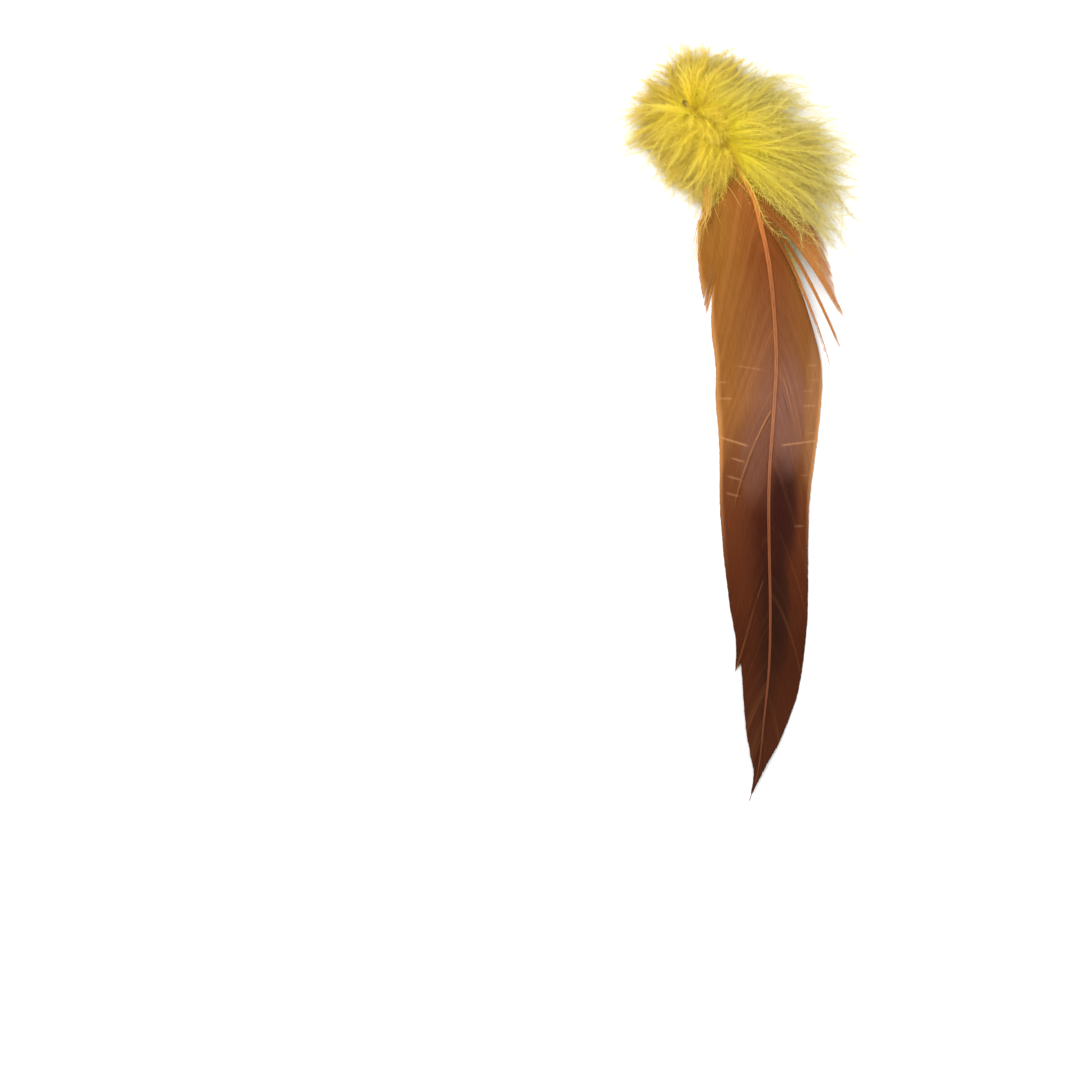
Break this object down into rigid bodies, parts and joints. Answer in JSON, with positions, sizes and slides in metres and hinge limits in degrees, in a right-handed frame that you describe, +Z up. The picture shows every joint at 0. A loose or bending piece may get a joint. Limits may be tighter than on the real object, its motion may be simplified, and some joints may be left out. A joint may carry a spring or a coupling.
{
  "type": "feather",
  "caption": "Dyed cock's feather with a rust vane and yellow down, lying flat with its outer side up, for trimming and display.",
  "frame": {"origin": "on the surface that the feather lies on, under the middle of its box", "axes": "+Z up from the surface, +Y along the feather towards the quill's end, -Y towards the tip, +X to the right as seen from above"},
  "size_m": [0.053, 0.1586, 0.0112],
  "materials": {
    "vane": "dyed rust barbs, ochre towards the quill and maroon towards the tip",
    "shaft": "satin orange horn",
    "down": "soft dyed yellow down, paler at its ends"
  },
  "bodies": {
    "root": {"feather": "vane"}
  },
  "joints": []
}
